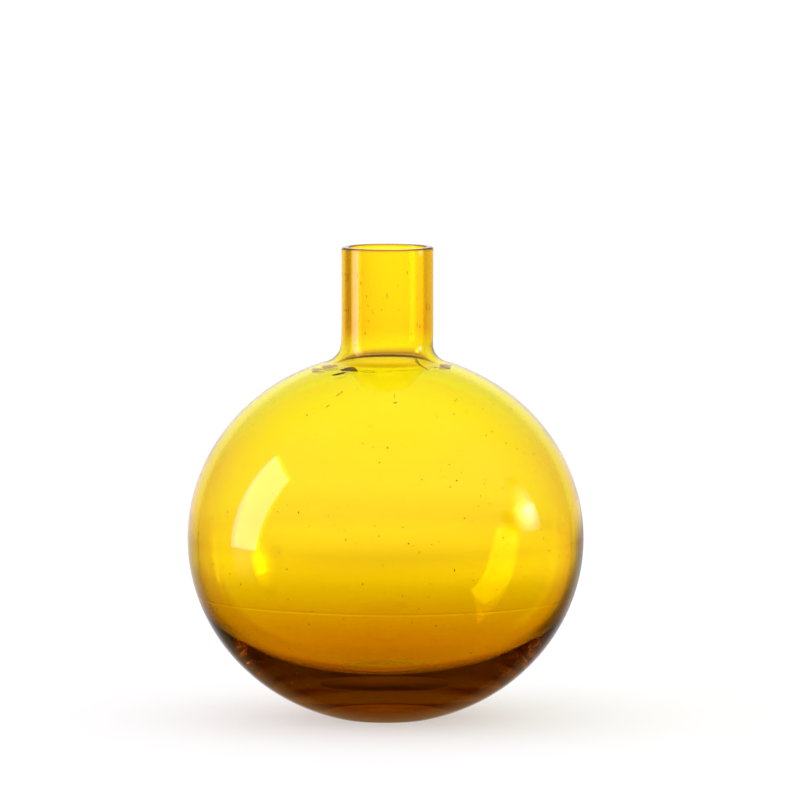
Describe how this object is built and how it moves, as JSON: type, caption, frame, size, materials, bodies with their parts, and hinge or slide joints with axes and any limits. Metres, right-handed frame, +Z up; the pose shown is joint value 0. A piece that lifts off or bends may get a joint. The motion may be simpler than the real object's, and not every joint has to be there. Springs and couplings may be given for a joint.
{
  "type": "glass bud vase",
  "caption": "Squat globe bud vase of thick amber glass with a narrow straight neck and a heavy cased base, which holds a slender stem in water.",
  "frame": {"origin": "centre of the ground foot, on the plane the vase stands on", "axes": "+Z up along the vase's axis, out of the mouth; +X and +Y are any two level directions, because the vase is round"},
  "size_m": [0.151, 0.151, 0.18],
  "materials": {
    "amber_glass": "clear gloss, tinted right through, golden where thin and dark brown where thick"
  },
  "bodies": {
    "root": {"globe": "amber_glass", "neck": "amber_glass", "base_gather": "amber_glass"}
  },
  "joints": []
}
